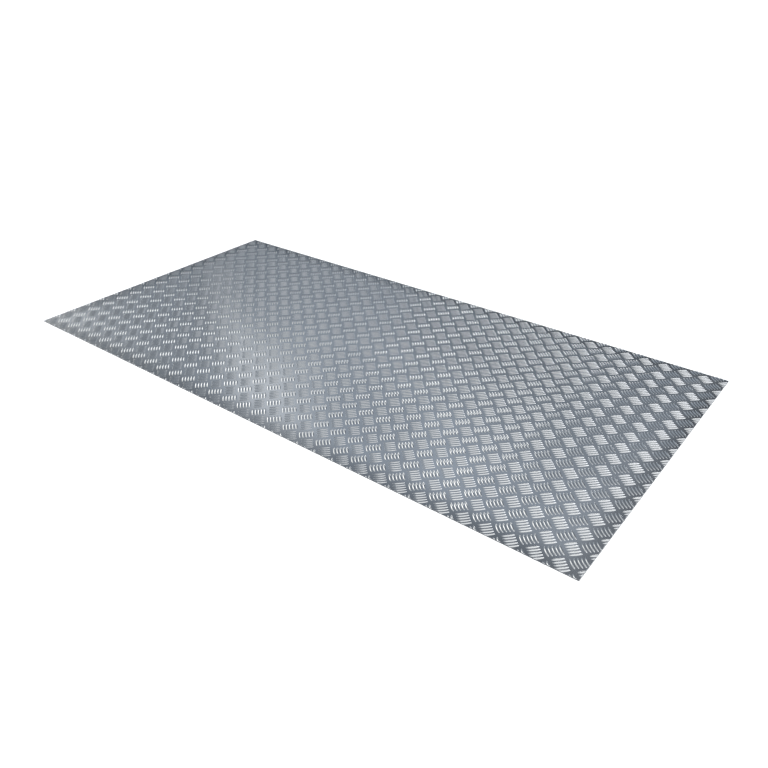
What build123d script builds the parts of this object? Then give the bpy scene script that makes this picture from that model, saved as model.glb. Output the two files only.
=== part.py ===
"""Five-bar aluminium tread plate: one rolled sheet, guillotined to a standard stock size.

Frame: origin at the middle of the underside, +X along the sheet's length (its rolling
direction), +Y across its width, +Z up out of the tread side. Millimetres throughout.
"""

import os

from build123d import *

# Driving dimensions of the stock sheet
SHEET_LENGTH = 2000.0
SHEET_WIDTH = 1000.0
BASE_THICKNESS = 2.5  # metal between the underside and the floor of the tread pattern

# The guillotine blade enters from the tread side and rolls the upper edge over
SHEAR_ROLLOVER_RADIUS = 0.4

NODE_NAME = "tread_plate"


def sheet_blank() -> Part:
    """The flat rolled sheet, cut square, resting with its underside at height zero."""
    outline = Rectangle(SHEET_LENGTH, SHEET_WIDTH)
    return extrude(outline, amount=BASE_THICKNESS)


def sheared(blank: Part) -> Part:
    """The blank with the rounded upper edge that the guillotine leaves on all four sides."""
    upper_edges = blank.faces().sort_by(Axis.Z)[-1].edges()
    return fillet(upper_edges, SHEAR_ROLLOVER_RADIUS)


def main() -> None:
    """Build the sheet and write it as one solid."""
    plate = sheared(sheet_blank())
    plate.label = NODE_NAME
    os.makedirs("parts", exist_ok=True)
    export_step(plate, f"parts/{NODE_NAME}.step")


main()
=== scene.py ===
"""Aluminium tread plate: the looks of one rolled sheet with its raised five-bar tread.

The flat sheet is the CAD node. This script dresses it, adds the raised bars that the rolls press up out
of it, and sets a pale floor, soft studio light and a camera that looks down on the sheet.
Metres throughout: +X along the sheet, +Y across it, +Z up out of the tread side.
"""

import logging
import math
from dataclasses import dataclass
from enum import Enum
from typing import Any

import bmesh
import bpy
from mathutils import Matrix, Vector


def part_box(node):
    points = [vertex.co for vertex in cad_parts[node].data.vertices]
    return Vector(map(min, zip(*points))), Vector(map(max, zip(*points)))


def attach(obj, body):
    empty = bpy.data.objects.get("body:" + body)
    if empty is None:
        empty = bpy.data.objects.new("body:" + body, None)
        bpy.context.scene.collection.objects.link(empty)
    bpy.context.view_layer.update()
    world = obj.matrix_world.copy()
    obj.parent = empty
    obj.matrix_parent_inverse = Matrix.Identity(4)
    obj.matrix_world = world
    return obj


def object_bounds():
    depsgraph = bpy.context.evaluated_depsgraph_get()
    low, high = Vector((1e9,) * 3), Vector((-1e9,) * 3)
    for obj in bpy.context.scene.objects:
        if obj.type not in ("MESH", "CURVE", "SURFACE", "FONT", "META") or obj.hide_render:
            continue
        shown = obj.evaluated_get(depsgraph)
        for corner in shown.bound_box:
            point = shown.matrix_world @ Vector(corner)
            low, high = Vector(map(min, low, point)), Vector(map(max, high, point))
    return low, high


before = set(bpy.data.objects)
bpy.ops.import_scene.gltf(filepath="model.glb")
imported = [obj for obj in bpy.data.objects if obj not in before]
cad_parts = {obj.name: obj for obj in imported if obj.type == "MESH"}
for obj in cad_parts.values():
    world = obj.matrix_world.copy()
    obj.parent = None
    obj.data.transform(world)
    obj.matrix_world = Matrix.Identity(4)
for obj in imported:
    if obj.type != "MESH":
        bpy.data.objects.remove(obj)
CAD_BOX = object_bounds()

log = logging.getLogger("tread_plate")

MM = 0.001
SHEET_NODE = "tread_plate"
SHEET_CORNER = tuple(CAD_BOX[1])
SKIN_NORMAL = "skin_normal"


def linear(hex_colour: str) -> tuple[float, float, float, float]:
    """Turn an sRGB hex colour into the linear values that shaders take.

    Args:
        hex_colour: six hex digits after a hash sign.
    Returns:
        Linear red, green and blue, with an alpha of one.
    """
    digits = hex_colour.lstrip("#")
    levels = [int(digits[i:i + 2], 16) / 255 for i in (0, 2, 4)]
    red, green, blue = (v / 12.92 if v <= 0.04045 else ((v + 0.055) / 1.055) ** 2.4 for v in levels)
    return red, green, blue, 1.0


def heading(bearing: float, height: float) -> tuple[float, float, float]:
    """Turn a bearing and a height into a unit vector.

    Args:
        bearing: degrees from +X towards +Y.
        height: degrees above the floor.
    Returns:
        The unit vector that points that way.
    """
    turn, rise = math.radians(bearing), math.radians(height)
    return math.cos(rise) * math.cos(turn), math.cos(rise) * math.sin(turn), math.sin(rise)


def add_node(
    tree: bpy.types.NodeTree,
    kind: str,
    settings: dict[str, Any] | None = None,
    inputs: dict[str | int, Any] | None = None,
) -> bpy.types.Node:
    """Add one node to a tree, set its properties and fill its inputs.

    Args:
        tree: the tree that takes the node.
        kind: Blender's class name of the node.
        settings: the node's own properties, by name.
        inputs: a value, an output to link, or a list of outputs, by the input's name or number.
    Returns:
        The new node.
    """
    node = tree.nodes.new(kind)
    for name, value in (settings or {}).items():
        setattr(node, name, value)
    for key, value in (inputs or {}).items():
        sources = value if isinstance(value, list) else [value]
        for source in sources:
            if isinstance(source, bpy.types.NodeSocket):
                tree.links.new(source, node.inputs[key])
            else:
                node.inputs[key].default_value = source
    return node


class Lean(Enum):
    """Which way the bars of a group run, seen from above with +X to the right."""

    RISING = "rising"
    FALLING = "falling"

    @property
    def turn(self) -> float:
        """The angle of the bars from +X, in radians."""
        return math.radians(45.0 if self is Lean.RISING else -45.0)


class Half(Enum):
    """The half of the sheet that a piece covers, so that no piece has too many faces."""

    FAR = "far"
    NEAR = "near"


@dataclass(frozen=True)
class MillAluminium:
    """Mill finish aluminium, hot rolled: satin grey with faint streaks along the rolling direction.

    The rolls leave a fine lengthwise grain and a soft, slightly uneven sheen, and the sheet is never quite
    flat, so what it mirrors wavers a little. Where the shear cut the sheet, the metal is torn dull, and its
    dark colour there is partly that dull metal and partly painted shade. Painted shade also darkens the
    metal towards the edges, fading inward, in place of the darker reflections there.
    """

    name: str
    colour: str
    dull_colour: str
    roughness: float
    roughness_spread: float
    streak_width: float = 1.2 * MM
    streak_length: float = 90.0 * MM
    streak_depth: float = 0.0005 * MM
    streak_share: float = 0.4
    patch_size: float = 140.0 * MM
    bright_below: float = 0.5
    dull_above: float = 0.9
    wave_length: float = 220.0 * MM
    wave_depth: float = 0.04 * MM
    # the sheared edge: dull torn metal, its colour darkened further as painted shade
    torn_and_shaded_colour: str = "#8b8f94"
    torn_roughness: float = 0.5
    torn_from: float = 0.1 * MM
    torn_to: float = 2.2 * MM
    # painted shade towards the edges: its darkest tone, its width and its waver
    edge_shade_tone: float = 0.58
    edge_shade_width: float = 78.0 * MM
    edge_shade_waver: float = 16.0 * MM

    def relief(
        self, tree: bpy.types.NodeTree, place: bpy.types.Node, streaks: bpy.types.Node,
    ) -> bpy.types.Node:
        """Add the slight waviness of the sheet, with the grain of the rolls on it.

        Args:
            tree: the material's tree.
            place: the node with the Object coordinates.
            streaks: the noise of the grain.
        Returns:
            The node with the uneven normal.
        """
        waves = add_node(
            tree, "ShaderNodeTexNoise", {"noise_dimensions": "3D"},
            {"Vector": place.outputs["Object"], "Scale": 1 / self.wave_length,
             "Detail": 1.0, "Roughness": 0.4})
        wavy = add_node(
            tree, "ShaderNodeBump", {},
            {"Height": waves.outputs["Fac"], "Distance": self.wave_depth, "Strength": 1.0})
        return add_node(
            tree, "ShaderNodeBump", {},
            {"Height": streaks.outputs["Fac"], "Distance": self.streak_depth, "Strength": 1.0,
             "Normal": wavy.outputs["Normal"]})

    def painted_edge_shade(
        self, tree: bpy.types.NodeTree, place: bpy.types.Node, patches: bpy.types.Node,
    ) -> bpy.types.Node:
        """Add the painted edge shade, darker towards the nearest edge, which wavers with the sheen.

        Args:
            tree: the material's tree.
            place: the node with the Object coordinates.
            patches: the noise of the sheen.
        Returns:
            The node with the painted shade's tone, which is one away from the edges.
        """
        reach = add_node(
            tree, "ShaderNodeVectorMath", {"operation": "ABSOLUTE"}, {0: place.outputs["Object"]})
        inward = add_node(
            tree, "ShaderNodeVectorMath", {"operation": "SUBTRACT"},
            {0: SHEET_CORNER, 1: reach.outputs["Vector"]})
        inward_xyz = add_node(tree, "ShaderNodeSeparateXYZ", {}, {"Vector": inward.outputs["Vector"]})
        nearest = add_node(
            tree, "ShaderNodeMath", {"operation": "MINIMUM"},
            {0: inward_xyz.outputs["X"], 1: inward_xyz.outputs["Y"]})
        ragged = add_node(
            tree, "ShaderNodeMath", {"operation": "MULTIPLY_ADD"},
            {0: patches.outputs["Fac"], 1: self.edge_shade_waver, 2: nearest.outputs["Value"]})
        return add_node(
            tree, "ShaderNodeMapRange", {"interpolation_type": "SMOOTHSTEP"},
            {"Value": ragged.outputs["Value"], "From Min": self.edge_shade_waver / 2,
             "From Max": self.edge_shade_waver / 2 + self.edge_shade_width, "To Min": self.edge_shade_tone, "To Max": 1.0})

    def build(self) -> bpy.types.Material:
        """Make the material from procedural nodes on Object coordinates.

        Returns:
            The finished material.
        """
        material = bpy.data.materials.new(self.name)
        material.use_nodes = True
        tree = material.node_tree
        tree.nodes.clear()
        place = add_node(tree, "ShaderNodeTexCoord")
        along = add_node(
            tree, "ShaderNodeMapping", {"vector_type": "POINT"},
            {"Vector": place.outputs["Object"],
             "Scale": (1 / self.streak_length, 1 / self.streak_width, 1 / self.streak_width)})
        streaks = add_node(
            tree, "ShaderNodeTexNoise", {"noise_dimensions": "3D"},
            {"Vector": along.outputs["Vector"], "Scale": 1.0, "Detail": 3.0, "Roughness": 0.6})
        patches = add_node(
            tree, "ShaderNodeTexNoise", {"noise_dimensions": "3D"},
            {"Vector": place.outputs["Object"], "Scale": 1 / self.patch_size,
             "Detail": 4.0, "Roughness": 0.55})

        # the streaks and the patches together make the metal duller or brighter
        mixed = add_node(
            tree, "ShaderNodeMath", {"operation": "MULTIPLY_ADD"},
            {0: streaks.outputs["Fac"], 1: self.streak_share, 2: patches.outputs["Fac"]})
        tone = add_node(
            tree, "ShaderNodeMapRange", {"clamp": True},
            {"Value": mixed.outputs["Value"], "From Min": self.bright_below, "From Max": self.dull_above})
        sheen = add_node(
            tree, "ShaderNodeMapRange", {"clamp": True},
            {"Value": mixed.outputs["Value"], "From Min": self.bright_below, "From Max": self.dull_above,
             "To Min": self.roughness - self.roughness_spread,
             "To Max": self.roughness + self.roughness_spread})
        colour = add_node(
            tree, "ShaderNodeMix", {"data_type": "RGBA"},
            {"Factor": tone.outputs["Result"], "A": linear(self.colour), "B": linear(self.dull_colour)})

        # the sheared edge lies between the underside and the rolled-over upper edge; its dark colour is
        # partly dull torn metal and partly painted shade
        place_xyz = add_node(tree, "ShaderNodeSeparateXYZ", {}, {"Vector": place.outputs["Object"]})
        middle = (self.torn_from + self.torn_to) / 2
        torn = add_node(
            tree, "ShaderNodeMath", {"operation": "COMPARE"},
            {0: place_xyz.outputs["Z"], 1: middle, 2: self.torn_to - middle})
        worn = add_node(
            tree, "ShaderNodeMix", {"data_type": "FLOAT"},
            {"Factor": torn.outputs["Value"], "A": sheen.outputs["Result"], "B": self.torn_roughness})
        shade = add_node(
            tree, "ShaderNodeMix", {"data_type": "RGBA"},
            {"Factor": torn.outputs["Value"], "A": colour.outputs["Result"], "B": linear(self.torn_and_shaded_colour)})
        # painted shade: the metal darkens towards the sheet's edges
        edge_shaded = add_node(
            tree, "ShaderNodeMix", {"data_type": "RGBA", "blend_type": "MULTIPLY"},
            {"Factor": 1.0, "A": shade.outputs["Result"],
             "B": self.painted_edge_shade(tree, place, patches).outputs["Result"]})
        shader = add_node(
            tree, "ShaderNodeBsdfPrincipled", {},
            {"Base Color": edge_shaded.outputs["Result"], "Metallic": 1.0, "Roughness": worn.outputs["Result"],
             "Normal": self.relief(tree, place, streaks).outputs["Normal"]})
        add_node(tree, "ShaderNodeOutputMaterial", {}, {"Surface": shader.outputs["BSDF"]})
        return material


@dataclass(frozen=True)
class TreadBar:
    """One raised bar: a long low lens of metal with a soft foot, lying along X."""

    length: float = 31.0 * MM
    width: float = 7.4 * MM
    height: float = 1.5 * MM
    sunk: float = 0.03 * MM
    stations: tuple[float, ...] = (-0.93, -0.78, -0.45, 0.0, 0.45, 0.78, 0.93)
    columns: tuple[float, ...] = (-1.0, -0.75, -0.42, 0.0, 0.42, 0.75, 1.0)
    end_fall: float = 5.0
    plan_fullness: float = 0.45
    foot_softness: float = 2.0

    def point(self, along: float, across: float, ground: float) -> tuple[float, float, float]:
        """Place one point of the bar's skin.

        Args:
            along: from -1 at one tip to 1 at the other.
            across: from -1 at one foot to 1 at the other.
            ground: height of the floor of the tread pattern.
        Returns:
            The point's coordinates.
        """
        crest = 1 - abs(along) ** self.end_fall
        half_width = self.width / 2 * (1 - along ** 2) ** self.plan_fullness
        rise = (self.height + self.sunk) * crest * (1 - across ** 2) ** self.foot_softness
        return along * self.length / 2, across * half_width, ground - self.sunk + rise

    def normal(self, along: float, across: float) -> Vector:
        """Work out the true slope of the bar's skin, which its few faces only roughly follow.

        Args:
            along: from -1 at one tip to 1 at the other.
            across: from -1 at one foot to 1 at the other.
        Returns:
            The skin's unit normal.
        """
        step = 0.001
        inner = max(-1 + 2 * step, min(1 - 2 * step, along))
        back, front = self.point(inner - step, across, 0.0), self.point(inner + step, across, 0.0)
        right, left = self.point(inner, across - step, 0.0), self.point(inner, across + step, 0.0)
        return (Vector(front) - Vector(back)).cross(Vector(left) - Vector(right)).normalized()

    def mesh(self, name: str, ground: float) -> bpy.types.Mesh:
        """Build the closed bar: a smooth skin of rings between two tips, and a flat bottom.

        Args:
            name: name of the new mesh.
            ground: height of the floor of the tread pattern.
        Returns:
            The bar's mesh.
        """
        spots = [(a, c) for a in self.stations for c in self.columns] + [(-1.0, 0.0), (1.0, 0.0)]
        shape = bmesh.new()
        *skin, start, end = [shape.verts.new(self.point(a, c, ground)) for a, c in spots]
        count = len(self.columns)
        rings = [skin[i:i + count] for i in range(0, len(skin), count)]
        for first, second in zip(rings, rings[1:]):
            for i in range(count - 1):
                shape.faces.new((first[i], second[i], second[i + 1], first[i + 1]))
        for i in range(count - 1):
            shape.faces.new((start, rings[0][i], rings[0][i + 1]))
            shape.faces.new((end, rings[-1][i + 1], rings[-1][i]))
        for face in shape.faces:
            face.smooth = True
        right = [ring[0] for ring in rings]
        left = [ring[-1] for ring in rings]
        shape.faces.new([start, *left, end, *reversed(right)])
        mesh = bpy.data.meshes.new(name)
        shape.to_mesh(mesh)
        shape.free()
        slopes = mesh.attributes.new(SKIN_NORMAL, "FLOAT_VECTOR", "POINT")
        for entry, (a, c) in zip(slopes.data, spots):
            entry.vector = self.normal(a, c)
        return mesh


@dataclass(frozen=True)
class FiveBarTread:
    """The tread pattern: groups of five bars in two directions, staggered like a basket weave.

    The bars that fall are a little slimmer and lower than those that rise, with ends that fall more gently.
    """

    rising_bar: TreadBar = TreadBar()
    falling_bar: TreadBar = TreadBar(width=6.5 * MM, height=1.2 * MM, end_fall=3.0)
    bars: int = 5
    bar_spacing: float = 8.45 * MM
    pitch_along: float = 60.115 * MM
    pitch_across: float = 59.333 * MM
    start_along: float = -15.3 * MM
    start_across: float = -8.6 * MM
    drift: float = 0.008
    shear_inset: float = 0.1 * MM
    shear_height: float = 100.0 * MM

    def half_stack(self) -> float:
        """Distance from the middle bar's line to the outer bar's line."""
        return (self.bars - 1) / 2 * self.bar_spacing

    def group_reach(self) -> float:
        """Furthest that a group's metal stands from its centre."""
        bar = max(self.rising_bar, self.falling_bar, key=lambda one: one.width)
        return math.hypot(self.half_stack() + bar.width / 2, bar.length / 2)

    def tree(self) -> bpy.types.NodeTree:
        """Build the node tree that lays out a field of groups and trims it to the sheet.

        Returns:
            The tree, with named inputs for its sizes.
        """
        tree = bpy.data.node_groups.new("five_bar_tread", "GeometryNodeTree")
        tree.interface.new_socket("Geometry", in_out="OUTPUT", socket_type="NodeSocketGeometry")
        kinds = {
            "Bar": "Geometry", "Bars": "Int", "First Bar": "Vector", "Bar Step": "Vector", "Turn": "Vector",
            "Columns": "Int", "Rows": "Int", "Field Length": "Float", "Field Width": "Float",
            "Middle": "Vector", "Drift": "Vector", "Sheet": "Vector", "Half Sheet": "Vector",
            "Reach": "Float", "Clear": "Float", "From": "Float", "To": "Float", "Metal": "Material"}
        for name, kind in kinds.items():
            tree.interface.new_socket(name, in_out="INPUT", socket_type=f"NodeSocket{kind}")
        given = add_node(tree, "NodeGroupInput").outputs

        # one group: the bars side by side, turned to their lean
        stack = add_node(
            tree, "GeometryNodeMeshLine", {"mode": "OFFSET"},
            {"Count": given["Bars"], "Start Location": given["First Bar"], "Offset": given["Bar Step"]})
        bars = add_node(
            tree, "GeometryNodeInstanceOnPoints", {},
            {"Points": stack.outputs["Mesh"], "Instance": given["Bar"]})
        group = add_node(
            tree, "GeometryNodeTransform", {},
            {"Geometry": bars.outputs["Instances"], "Rotation": given["Turn"]})

        # the field of group centres, drifting a little along the sheet from side to side
        field = add_node(
            tree, "GeometryNodeMeshGrid", {},
            {"Size X": given["Field Length"], "Size Y": given["Field Width"],
             "Vertices X": given["Columns"], "Vertices Y": given["Rows"]})
        centred = add_node(
            tree, "GeometryNodeSetPosition", {},
            {"Geometry": field.outputs["Mesh"], "Offset": given["Middle"]})
        spot = add_node(tree, "GeometryNodeInputPosition")
        spot_xyz = add_node(tree, "ShaderNodeSeparateXYZ", {}, {"Vector": spot.outputs["Position"]})
        slide = add_node(
            tree, "ShaderNodeVectorMath", {"operation": "SCALE"},
            {"Vector": given["Drift"], "Scale": spot_xyz.outputs["Y"]})
        drifted = add_node(
            tree, "GeometryNodeSetPosition", {},
            {"Geometry": centred.outputs["Geometry"], "Offset": slide.outputs["Vector"]})

        # how far each centre stands outside the sheet, negative within it
        distance = add_node(
            tree, "ShaderNodeVectorMath", {"operation": "ABSOLUTE"}, {0: spot.outputs["Position"]})
        excess = add_node(
            tree, "ShaderNodeVectorMath", {"operation": "SUBTRACT"},
            {0: distance.outputs["Vector"], 1: given["Half Sheet"]})
        excess_xyz = add_node(tree, "ShaderNodeSeparateXYZ", {}, {"Vector": excess.outputs["Vector"]})
        outside = add_node(
            tree, "ShaderNodeMath", {"operation": "MAXIMUM"},
            {0: excess_xyz.outputs["X"], 1: excess_xyz.outputs["Y"]})

        # keep the groups that reach the sheet within this piece's stretch, and set apart those at its edges
        touching = add_node(
            tree, "FunctionNodeCompare", {"data_type": "FLOAT", "operation": "LESS_THAN"},
            {"A": outside.outputs["Value"], "B": given["Reach"]})
        begun = add_node(
            tree, "FunctionNodeCompare", {"data_type": "FLOAT", "operation": "GREATER_THAN"},
            {"A": spot_xyz.outputs["X"], "B": given["From"]})
        unended = add_node(
            tree, "FunctionNodeCompare", {"data_type": "FLOAT", "operation": "LESS_EQUAL"},
            {"A": spot_xyz.outputs["X"], "B": given["To"]})
        in_stretch = add_node(
            tree, "FunctionNodeBooleanMath", {"operation": "AND"},
            {0: begun.outputs["Result"], 1: unended.outputs["Result"]})
        wanted = add_node(
            tree, "FunctionNodeBooleanMath", {"operation": "AND"},
            {0: in_stretch.outputs["Boolean"], 1: touching.outputs["Result"]})
        used = add_node(
            tree, "GeometryNodeSeparateGeometry", {"domain": "POINT"},
            {"Geometry": drifted.outputs["Geometry"], "Selection": wanted.outputs["Boolean"]})
        within = add_node(
            tree, "FunctionNodeCompare", {"data_type": "FLOAT", "operation": "LESS_THAN"},
            {"A": outside.outputs["Value"], "B": given["Clear"]})
        split = add_node(
            tree, "GeometryNodeSeparateGeometry", {"domain": "POINT"},
            {"Geometry": used.outputs["Selection"], "Selection": within.outputs["Result"]})
        whole = add_node(
            tree, "GeometryNodeInstanceOnPoints", {},
            {"Points": split.outputs["Selection"], "Instance": group.outputs["Geometry"]})
        edge = add_node(
            tree, "GeometryNodeInstanceOnPoints", {},
            {"Points": split.outputs["Inverted"], "Instance": group.outputs["Geometry"]})

        # the shear cuts the groups at the edges flush with the sheet, as triangles for a clean cut
        outline = add_node(tree, "GeometryNodeMeshCube", {}, {"Size": given["Sheet"]})
        loose = add_node(tree, "GeometryNodeRealizeInstances", {}, {"Geometry": edge.outputs["Instances"]})
        facets = add_node(tree, "GeometryNodeTriangulate", {}, {"Mesh": loose.outputs["Geometry"]})
        trimmed = add_node(
            tree, "GeometryNodeMeshBoolean", {"operation": "INTERSECT", "solver": "MANIFOLD"},
            {"Mesh 2": [facets.outputs["Mesh"], outline.outputs["Mesh"]]})
        slope = add_node(
            tree, "GeometryNodeInputNamedAttribute", {"data_type": "FLOAT_VECTOR"}, {"Name": SKIN_NORMAL})
        uncut = add_node(
            tree, "GeometryNodeSampleNearestSurface", {"data_type": "FLOAT_VECTOR"},
            {"Mesh": loose.outputs["Geometry"], "Value": slope.outputs["Attribute"]})
        kept = add_node(
            tree, "GeometryNodeStoreNamedAttribute", {"data_type": "FLOAT_VECTOR", "domain": "POINT"},
            {"Geometry": trimmed.outputs["Mesh"], "Name": SKIN_NORMAL, "Value": uncut.outputs["Value"]})
        joined = add_node(
            tree, "GeometryNodeJoinGeometry", {},
            {"Geometry": [whole.outputs["Instances"], kept.outputs["Geometry"]]})
        real = add_node(tree, "GeometryNodeRealizeInstances", {}, {"Geometry": joined.outputs["Geometry"]})

        # the bars are shaded by their true slopes, turned with the group
        turned = add_node(
            tree, "ShaderNodeVectorRotate", {"rotation_type": "EULER_XYZ"},
            {"Vector": slope.outputs["Attribute"], "Rotation": given["Turn"]})
        unit = add_node(
            tree, "ShaderNodeVectorMath", {"operation": "NORMALIZE"}, {0: turned.outputs["Vector"]})
        shaded = add_node(
            tree, "GeometryNodeSetMeshNormal", {"mode": "FREE", "domain": "POINT"},
            {"Mesh": real.outputs["Geometry"], "Custom Normal": unit.outputs["Vector"]})
        plain = add_node(
            tree, "GeometryNodeRemoveAttribute", {},
            {"Geometry": shaded.outputs["Mesh"], "Name": SKIN_NORMAL})
        dressed = add_node(
            tree, "GeometryNodeSetMaterial", {},
            {"Geometry": plain.outputs["Geometry"], "Material": given["Metal"]})
        add_node(tree, "NodeGroupOutput", {}, {"Geometry": dressed.outputs["Geometry"]})
        return tree

    def layout(self, lean: Lean, half: Half, sheet: tuple[Vector, Vector]) -> dict[str, Any]:
        """Work out the tree's inputs for one piece.

        Args:
            lean: which way the bars run.
            half: which half of the sheet the piece covers.
            sheet: lowest and highest corners of the CAD sheet.
        Returns:
            The value of each named input, apart from the finish.
        """
        length, width = sheet[1][0] - sheet[0][0], sheet[1][1] - sheet[0][1]
        trimmed = (length - 2 * self.shear_inset, width - 2 * self.shear_inset, self.shear_height)
        columns = 2 * math.ceil(length / 2 / self.pitch_along + 1) + 1
        rows = 2 * math.ceil(width / 2 / self.pitch_across + 1) + 1
        stagger = 0.0 if lean is Lean.RISING else 0.5
        return {
            "Bars": self.bars,
            "First Bar": (0.0, -self.half_stack(), 0.0),
            "Bar Step": (0.0, self.bar_spacing, 0.0),
            "Turn": (0.0, 0.0, lean.turn),
            "Columns": columns,
            "Rows": rows,
            "Field Length": (columns - 1) * self.pitch_along,
            "Field Width": (rows - 1) * self.pitch_across,
            "Middle": (self.start_along + stagger * self.pitch_along,
                       self.start_across + stagger * self.pitch_across, 0.0),
            "Drift": (-self.drift, 0.0, 0.0),
            "Sheet": trimmed,
            "Half Sheet": (trimmed[0] / 2, trimmed[1] / 2, 0.0),
            "Reach": self.group_reach(),
            "Clear": -self.group_reach(),
            "From": -length if half is Half.FAR else 0.0,
            "To": 0.0 if half is Half.FAR else length,
        }

    def piece(
        self, name: str, bar: bpy.types.Mesh, tree: bpy.types.NodeTree, values: dict[str, Any],
    ) -> bpy.types.Object:
        """Run the tree on one bar and keep the result as a plain mesh.

        Args:
            name: name of the new piece.
            bar: mesh of one bar.
            tree: the tree that lays out the bars.
            values: the value of each named input.
        Returns:
            The new piece, at the origin.
        """
        identifiers = {s.name: s.identifier for s in tree.interface.items_tree if s.in_out == "INPUT"}
        maker = bpy.data.objects.new(f"{name}_maker", bar)
        bpy.context.collection.objects.link(maker)
        modifier = maker.modifiers.new("five_bar_tread", "NODES")
        modifier.node_group = tree
        for key, value in values.items():
            modifier[identifiers[key]] = value
        graph = bpy.context.evaluated_depsgraph_get()
        mesh = bpy.data.meshes.new_from_object(maker.evaluated_get(graph), depsgraph=graph)
        mesh.name = name
        bpy.data.objects.remove(maker)
        piece = bpy.data.objects.new(name, mesh)
        bpy.context.collection.objects.link(piece)
        return piece

    def build(self, sheet: tuple[Vector, Vector], metal: bpy.types.Material) -> None:
        """Make the raised bars, one piece for each lean and half of the sheet.

        Args:
            sheet: lowest and highest corners of the CAD sheet.
            metal: the finish of the bars.
        """
        tree = self.tree()
        for lean in Lean:
            for half in Half:
                name = f"{lean.value}_bars_{half.value}"
                values = self.layout(lean, half, sheet) | {"Metal": metal}
                bar = self.rising_bar if lean is Lean.RISING else self.falling_bar
                piece = self.piece(name, bar.mesh(f"{name}_bar", sheet[1][2]), tree, values)
                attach(piece, "root")
                log.info("%s: %d faces", name, len(piece.data.polygons))


@dataclass(frozen=True)
class RolledSheet:
    """The flat sheet itself, which is the CAD node with a better finish."""

    node: str = SHEET_NODE

    def dress(self, metal: bpy.types.Material) -> None:
        """Put the finish on the CAD node.

        Args:
            metal: the finish of the ground of the sheet.
        """
        for slot in bpy.data.objects[self.node].material_slots:
            slot.material = metal
        log.info("%s: dressed with %s", self.node, metal.name)


@dataclass(frozen=True)
class StudioFloor:
    """A plain floor of matt white paint, wide enough to fill the picture."""

    half_size: float = 120.0
    colour: str = "#fafafa"
    worn_colour: str = "#f4f4f3"
    roller_mark: float = 60.0 * MM
    roughness: float = 0.9
    gloss: float = 0.2

    def paint(self) -> bpy.types.Material:
        """Make the matt paint, which a roller leaves very slightly uneven.

        Returns:
            The finished material.
        """
        material = bpy.data.materials.new("matt_white_paint")
        material.use_nodes = True
        tree = material.node_tree
        tree.nodes.clear()
        place = add_node(tree, "ShaderNodeTexCoord")
        marks = add_node(
            tree, "ShaderNodeTexNoise", {"noise_dimensions": "3D"},
            {"Vector": place.outputs["Object"], "Scale": 1 / self.roller_mark, "Detail": 2.0})
        colour = add_node(
            tree, "ShaderNodeMix", {"data_type": "RGBA"},
            {"Factor": marks.outputs["Fac"], "A": linear(self.colour), "B": linear(self.worn_colour)})
        shader = add_node(
            tree, "ShaderNodeBsdfPrincipled", {},
            {"Base Color": colour.outputs["Result"], "Roughness": self.roughness,
             "Specular IOR Level": self.gloss})
        add_node(tree, "ShaderNodeOutputMaterial", {}, {"Surface": shader.outputs["BSDF"]})
        return material

    def build(self) -> bpy.types.Object:
        """Make the floor.

        Returns:
            The floor's object.
        """
        shape = bmesh.new()
        bmesh.ops.create_grid(shape, x_segments=1, y_segments=1, size=self.half_size)
        mesh = bpy.data.meshes.new("studio_floor")
        shape.to_mesh(mesh)
        shape.free()
        mesh.materials.append(self.paint())
        floor = bpy.data.objects.new("studio_floor", mesh)
        bpy.context.collection.objects.link(floor)
        log.info("studio_floor: %.0f m across", 2 * self.half_size)
        return floor


class Facing(Enum):
    """The way that a soft box faces."""

    DOWN = (0.0, 0.0, -1.0)
    FRONT = (0.0, -1.0, 0.0)
    RIGHT = (1.0, 0.0, 0.0)


@dataclass(frozen=True)
class SoftBox:
    """A rectangular soft box round the sheet.

    Its radiance is how bright its white front looks. Seen from its front its size is across, then up, and
    one that hangs overhead is measured along X, then along Y.
    """

    name: str
    facing: Facing
    centre: tuple[float, float, float]
    size: tuple[float, float]
    radiance: float
    colour: str = "#f9fbff"

    def build(self) -> bpy.types.Object:
        """Make the light.

        Returns:
            The light's object.
        """
        lamp = bpy.data.lights.new(self.name, "AREA")
        lamp.shape = "RECTANGLE"
        lamp.size, lamp.size_y = self.size
        lamp.energy = self.radiance * math.pi * self.size[0] * self.size[1]
        lamp.color = linear(self.colour)[:3]
        light = bpy.data.objects.new(self.name, lamp)
        light.visible_camera = False
        turn = Vector(self.facing.value).to_track_quat("-Z", "Y").to_matrix().to_4x4()
        light.matrix_world = Matrix.Translation(self.centre) @ turn
        bpy.context.collection.objects.link(light)
        log.info("%s: placed", self.name)
        return light


@dataclass(frozen=True)
class WallGlow:
    """A soft bright patch on the far studio walls, which only the metal's mirror image shows.

    Its bearing is counted in degrees from +X towards +Y and its height in degrees above the floor. At
    its spread, also in degrees, it has half the brightness of its middle.
    """

    bearing: float
    height: float
    spread: float
    radiance: float
    colour: str = "#f9fbff"

    def sharpness(self) -> float:
        """How fast the patch fades, as the exponent's factor."""
        return math.log(2) / (1 - math.cos(math.radians(self.spread)))

    def tint(self) -> tuple[float, float, float]:
        """The patch's colour, scaled to its radiance."""
        red, green, blue, _ = linear(self.colour)
        level = self.radiance * 3 / (red + green + blue)
        return red * level, green * level, blue * level


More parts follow.
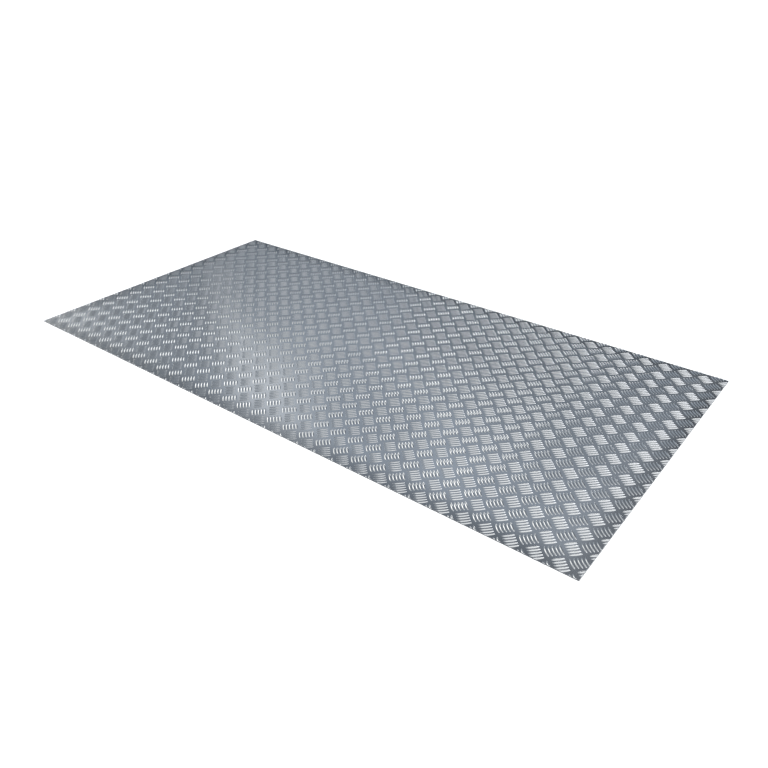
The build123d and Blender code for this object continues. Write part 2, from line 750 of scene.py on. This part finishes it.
@dataclass(frozen=True)
class Studio:
    """The soft studio light round the sheet and the view transform that shows it plainly."""

    walls: str = "#5a6168"
    floor_light: float = 3.4
    floor_light_spread: float = math.radians(90.0)
    glows: tuple[WallGlow, ...] = (
        WallGlow(135.0, 38.0, 13.6, 0.234, "#e4f0ff"),
        WallGlow(63.0, 44.0, 9.0, 2.6),
        WallGlow(86.0, 46.0, 8.0, 1.2),
        WallGlow(110.0, 12.0, 3.5, 1.2),
        WallGlow(166.0, 33.0, 7.2, 1.8, "#fffdf6"),
        WallGlow(165.0, 13.0, 7.2, 1.5, "#fffdf6"),
        WallGlow(-50.0, 25.0, 40.0, 0.3, "#e4f0ff"),
    )
    boxes: tuple[SoftBox, ...] = (
        SoftBox("back_low", Facing.FRONT, (-0.2, 2.5, 0.4), (1.2, 0.5), 1.7, "#fffefb"),
        SoftBox("back_low_right", Facing.FRONT, (0.75, 2.5, 0.75), (0.7, 0.9), 0.06),
        SoftBox("back_low_left", Facing.FRONT, (-1.75, 2.5, 0.7), (2.0, 0.4), 0.42),
        SoftBox("back_high", Facing.FRONT, (-1.0, 2.5, 1.85), (1.5, 0.5), 0.05, "#e4f0ff"),
        SoftBox("back_high_left", Facing.FRONT, (-2.6, 2.5, 1.6), (2.0, 0.9), 0.055, "#e4f0ff"),
        SoftBox("back_high_right", Facing.FRONT, (0.1, 2.5, 1.75), (0.7, 0.8), 0.07, "#e4f0ff"),
        SoftBox("back_top", Facing.FRONT, (-0.7, 2.5, 2.5), (1.6, 0.8), 0.11, "#e4f0ff"),
        SoftBox("left_low", Facing.RIGHT, (-3.0, 0.5, 0.55), (0.5, 0.7), 0.651),
        SoftBox("left_high", Facing.RIGHT, (-3.0, 1.0, 1.15), (1.2, 0.5), 0.06, "#e4f0ff"),
        SoftBox("window", Facing.FRONT, (-3.4, 2.5, 2.4), (0.7, 1.1), 0.3, "#fffefb"),
        SoftBox("window_haze", Facing.FRONT, (-3.3, 2.5, 2.3), (1.4, 1.7), 0.14, "#fffefb"),
        SoftBox("overhead_far", Facing.DOWN, (1.3, 2.0, 2.2), (1.5, 1.0), 0.38, "#fffefb"),
        SoftBox("overhead_right", Facing.DOWN, (1.75, 1.0, 2.2), (1.8, 1.0), 0.54, "#fffefb"),
        SoftBox("overhead_front", Facing.DOWN, (1.65, -0.2, 2.2), (1.7, 1.4), 0.72, "#fffefb"),
        SoftBox("overhead_middle", Facing.DOWN, (0.48, 0.4, 2.2), (0.64, 2.0), 0.45, "#fffefb"),
        SoftBox("overhead_left", Facing.DOWN, (-0.42, 0.2, 2.2), (1.16, 1.3), 0.37, "#fffefb"),
        SoftBox("overhead_far_left", Facing.DOWN, (-1.5, 0.3, 2.2), (1.0, 1.0), 0.14, "#fffefb"),
    )

    def paint_walls(self) -> None:
        """Make the surroundings: plain walls with soft bright patches."""
        world = bpy.data.worlds.new("studio_walls")
        bpy.context.scene.world = world
        world.use_nodes = True
        tree = world.node_tree
        tree.nodes.clear()
        way = add_node(tree, "ShaderNodeTexCoord")
        light = add_node(tree, "ShaderNodeVectorMath", {"operation": "ADD"}, {0: linear(self.walls)[:3]})
        for glow in self.glows:
            towards = add_node(
                tree, "ShaderNodeVectorMath", {"operation": "DOT_PRODUCT"},
                {0: way.outputs["Generated"], 1: heading(glow.bearing, glow.height)})
            falloff = add_node(
                tree, "ShaderNodeMath", {"operation": "MULTIPLY_ADD"},
                {0: towards.outputs["Value"], 1: glow.sharpness(), 2: -glow.sharpness()})
            patch = add_node(tree, "ShaderNodeMath", {"operation": "EXPONENT"}, {0: falloff.outputs["Value"]})
            tinted = add_node(
                tree, "ShaderNodeVectorMath", {"operation": "SCALE"},
                {"Vector": glow.tint(), "Scale": patch.outputs["Value"]})
            light = add_node(
                tree, "ShaderNodeVectorMath", {"operation": "ADD"},
                {0: light.outputs["Vector"], 1: tinted.outputs["Vector"]})
        shine = add_node(
            tree, "ShaderNodeBackground", {}, {"Color": light.outputs["Vector"], "Strength": 1.0})
        add_node(tree, "ShaderNodeOutputWorld", {}, {"Surface": shine.outputs["Background"]})
        log.info("studio_walls: %d soft patches", len(self.glows))

    def wash(self, floor: bpy.types.Object) -> None:
        """Light the floor alone, so that it is an even white without glare on the metal.

        Args:
            floor: the studio floor.
        """
        lit = bpy.data.collections.new("floor_only")
        lit.objects.link(floor)
        lamp = bpy.data.lights.new("floor_wash", "SUN")
        lamp.angle = self.floor_light_spread
        lamp.energy = self.floor_light
        light = bpy.data.objects.new("floor_wash", lamp)
        light.light_linking.receiver_collection = lit
        bpy.context.collection.objects.link(light)
        log.info("floor_wash: placed")

    def build(self, floor: bpy.types.Object) -> None:
        """Set the surroundings, the lights and the view transform.

        Args:
            floor: the studio floor, which has a wash of light of its own.
        """
        bpy.context.scene.view_settings.view_transform = "Standard"
        self.paint_walls()
        for box in self.boxes:
            box.build()
        self.wash(floor)


@dataclass(frozen=True)
class ViewCamera:
    """The camera at the photograph's viewing angle."""

    place: tuple[float, float, float] = (1.3727, -1.6053, 1.1306)
    aim: tuple[float, float, float] = (0.2004, -0.1224, 0.0)
    roll: float = math.radians(-0.617)
    lens_mm: float = 35.011
    sensor_mm: float = 36.0

    def build(self) -> None:
        """Make the camera and give it to the scene."""
        lens = bpy.data.cameras.new("view_camera")
        lens.sensor_width = self.sensor_mm
        lens.lens = self.lens_mm
        camera = bpy.data.objects.new("view_camera", lens)
        sight = Vector(self.aim) - Vector(self.place)
        facing = sight.to_track_quat("-Z", "Y").to_matrix().to_4x4()
        camera.matrix_world = Matrix.Translation(self.place) @ facing @ Matrix.Rotation(self.roll, 4, "Z")
        bpy.context.collection.objects.link(camera)
        bpy.context.scene.camera = camera
        log.info("view_camera: placed")


def main() -> None:
    """Build the camera, the sheet, its tread, the floor and the light."""
    logging.basicConfig(level=logging.INFO, format="%(name)s: %(message)s")
    ViewCamera().build()
    ground = MillAluminium("mill_finish_aluminium", "#f2f3f5", "#e6e8eb", 0.16, 0.015).build()
    # the crests take only a faint painted edge shade
    crests = MillAluminium(
        "rubbed_mill_aluminium", "#f4f5f6", "#eeeff1", 0.12, 0.01,
        streak_depth=0.0001 * MM, edge_shade_tone=0.94).build()
    RolledSheet().dress(ground)
    FiveBarTread().build(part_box(SHEET_NODE), crests)
    floor = StudioFloor().build()
    Studio().build(floor)


if __name__ == "__main__":
    main()
